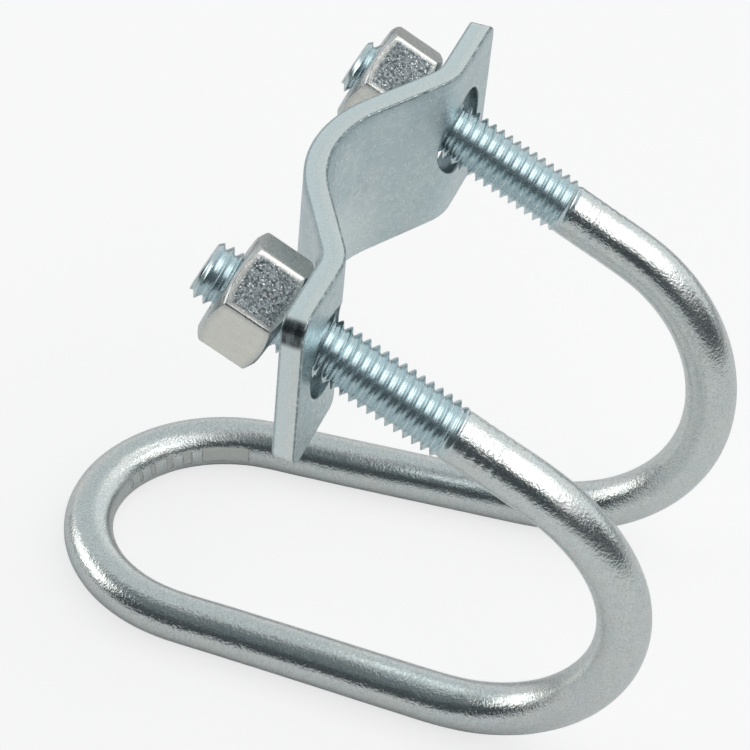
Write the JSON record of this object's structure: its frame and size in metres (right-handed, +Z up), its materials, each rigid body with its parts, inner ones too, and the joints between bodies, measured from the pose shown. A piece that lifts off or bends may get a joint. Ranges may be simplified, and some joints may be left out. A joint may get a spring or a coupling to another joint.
{
  "type": "folded-eye U-bolt with saddle plate",
  "caption": "Round-rod U-bolt whose closed end is folded back into an eye, with an arched saddle plate held on its threaded legs by hexagon nuts.",
  "frame": {"origin": "on the ground plane that the eye lies flat on, in the middle of the object's footprint, midway between the legs", "axes": "+Z up with the eye flat on the ground, -X from the bends towards the eye's closed end, -Y towards the front leg; the threaded legs slope up towards -X at 28 degrees"},
  "size_m": [0.0684, 0.0512, 0.0586],
  "materials": {
    "rod": "bright zinc plate on cold-drawn rod: shiny, fine-grained, with faint drawing and die marks",
    "plate": "bluish zinc plate on sheared strip, satin with fine mottling, rougher sheared edges",
    "nut": "zinc plate, satin flats with a slightly warm tint, some flats grainy"
  },
  "bodies": {
    "u_bolt": {"u_bolt": "rod"},
    "saddle": {"saddle_plate": "plate"},
    "nut_front": {"hex_nut_front": "nut"},
    "nut_rear": {"hex_nut_rear": "nut"}
  },
  "joints": [
    {"name": "saddle_slide", "type": "slide", "parent": "u_bolt", "child": "saddle", "axis": [0.8829, 0, -0.4695], "range_m": [-0.002, 0.018]},
    {"name": "nut_front_spin", "type": "hinge", "parent": "saddle", "child": "nut_front", "pos_m": [-0.00525, -0.018, 0.05223], "axis": [0.8829, 0, -0.4695], "range_deg": [-720, 6480]},
    {"name": "nut_rear_spin", "type": "hinge", "parent": "saddle", "child": "nut_rear", "pos_m": [-0.00486, 0.018, 0.05202], "axis": [0.8829, 0, -0.4695], "range_deg": [-720, 6480]}
  ],
  "couplings": [
    {"joint": "nut_front_spin", "follows": "saddle_slide", "rad_per_m": 6283.2},
    {"joint": "nut_rear_spin", "follows": "saddle_slide", "rad_per_m": 6283.2}
  ]
}
